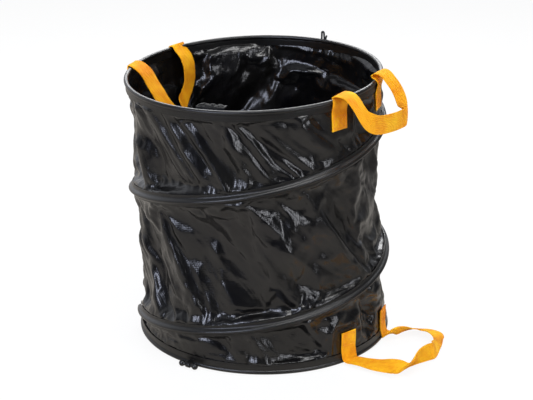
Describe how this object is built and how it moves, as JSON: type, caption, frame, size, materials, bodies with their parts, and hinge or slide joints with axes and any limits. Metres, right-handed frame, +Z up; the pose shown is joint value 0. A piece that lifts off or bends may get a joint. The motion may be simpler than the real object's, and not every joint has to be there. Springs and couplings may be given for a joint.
{
  "type": "pop up leaf bag",
  "caption": "Round pop up garden bag: a black woven sheet wall on a helical spring wire between two wire hoops, with orange webbing handles and toggle closures.",
  "frame": {"origin": "centre of the bottom panel's underside, on the floor", "axes": "+Z up, +X to the right towards the handle at the foot, +Y to the back"},
  "size_m": [0.5148, 0.4196, 0.4547],
  "materials": {
    "woven_sheet": "glossy black woven polyethylene sheet",
    "binding": "matte black ribbed polyester tape",
    "webbing": "woven orange polypropylene webbing",
    "thread": "orange sewing thread",
    "spring_steel": "drawn spring steel",
    "crimped_steel": "zinc plated, crimped",
    "black_plastic": "moulded, glossy",
    "elastic": "braided cover over an elastic core",
    "label": "soft grey tape, bare"
  },
  "bodies": {
    "base": {"wall_sheet": "woven_sheet", "wall_seam_tape": "binding", "helix_binding": "binding", "helix_spring_wire": "spring_steel", "helix_wire_cap_bottom": "black_plastic", "bottom_hoop_wire": "spring_steel", "bottom_hoop_sleeve": "crimped_steel", "bottom_rim_binding": "binding", "bottom_panel": "woven_sheet", "bottom_handle_tab_front": "webbing", "bottom_handle_tab_rear": "webbing", "bottom_handle_stitching_front": "thread", "bottom_handle_stitching_rear": "thread"},
    "rim": {"top_rim_binding": "binding", "top_hoop_wire": "spring_steel", "top_hoop_sleeve": "crimped_steel", "helix_wire_cap_top": "black_plastic", "right_handle_tab_front": "webbing", "right_handle_tab_rear": "webbing", "right_handle_stitching_front": "thread", "right_handle_stitching_rear": "thread", "left_handle_tab_front": "webbing", "left_handle_tab_rear": "webbing", "left_handle_stitching_front": "thread", "left_handle_stitching_rear": "thread", "front_elastic_loop_tab": "binding", "rear_elastic_loop_tab": "binding", "label_tab": "label"},
    "right_handle": {"right_handle_loop": "webbing"},
    "left_handle": {"left_handle_loop": "webbing"},
    "bottom_handle": {"bottom_handle_loop": "webbing"},
    "front_tether": {"front_closure_tether": "binding"},
    "front_toggle": {"front_closure_toggle": "black_plastic"},
    "rear_tether": {"rear_closure_tether": "binding"},
    "rear_toggle": {"rear_closure_toggle": "black_plastic"},
    "front_loop": {"front_elastic_loop": "elastic"},
    "rear_loop": {"rear_elastic_loop": "elastic"}
  },
  "joints": [
    {"name": "collapse", "type": "slide", "parent": "base", "child": "rim", "axis": [0, 0, -1], "range_m": [0, 0.335], "stiffness_N_per_m": 100, "springref_m": -0.1, "deforming": ["wall_sheet", "wall_seam_tape", "helix_binding", "helix_spring_wire"]},
    {"name": "right_handle_swing", "type": "hinge", "parent": "rim", "child": "right_handle", "pos_m": [0.14913, -0.1105, 0.45242], "axis": [-0.5516, -0.8339, -0.0193], "range_deg": [0, 150]},
    {"name": "left_handle_swing", "type": "hinge", "parent": "rim", "child": "left_handle", "pos_m": [-0.17693, 0.10559, 0.43463], "axis": [-0.5516, -0.8339, -0.0193], "range_deg": [0, 105]},
    {"name": "bottom_handle_swing", "type": "hinge", "parent": "base", "child": "bottom_handle", "pos_m": [0.17287, -0.11442, 0.0046], "axis": [-0.5519, -0.8339, 0], "range_deg": [0, 80]},
    {"name": "front_tether_swing", "type": "hinge", "parent": "base", "child": "front_tether", "pos_m": [-0.11404, -0.17067, 0.0112], "axis": [-0.8315, 0.5556, 0], "range_deg": [0, 85]},
    {"name": "front_toggle_spin", "type": "hinge", "parent": "front_tether", "child": "front_toggle", "pos_m": [-0.12039, -0.18018, 0.0056], "axis": [-0.8315, 0.5556, 0], "continuous": true},
    {"name": "rear_tether_swing", "type": "hinge", "parent": "base", "child": "rear_tether", "pos_m": [0.11404, 0.17067, 0.0112], "axis": [0.8315, -0.5556, 0], "range_deg": [0, 85]},
    {"name": "rear_toggle_spin", "type": "hinge", "parent": "rear_tether", "child": "rear_toggle", "pos_m": [0.12039, 0.18018, 0.0056], "axis": [0.8315, -0.5556, 0], "continuous": true},
    {"name": "front_loop_swing", "type": "hinge", "parent": "rim", "child": "front_loop", "pos_m": [-0.12659, -0.16389, 0.42658], "axis": [0.831, -0.5556, 0.029], "range_deg": [0, 150]},
    {"name": "rear_loop_swing", "type": "hinge", "parent": "rim", "child": "rear_loop", "pos_m": [0.09906, 0.17403, 0.43446], "axis": [-0.831, 0.5556, -0.029], "range_deg": [0, 150], "stiffness_Nm_per_rad": 0.001}
  ]
}
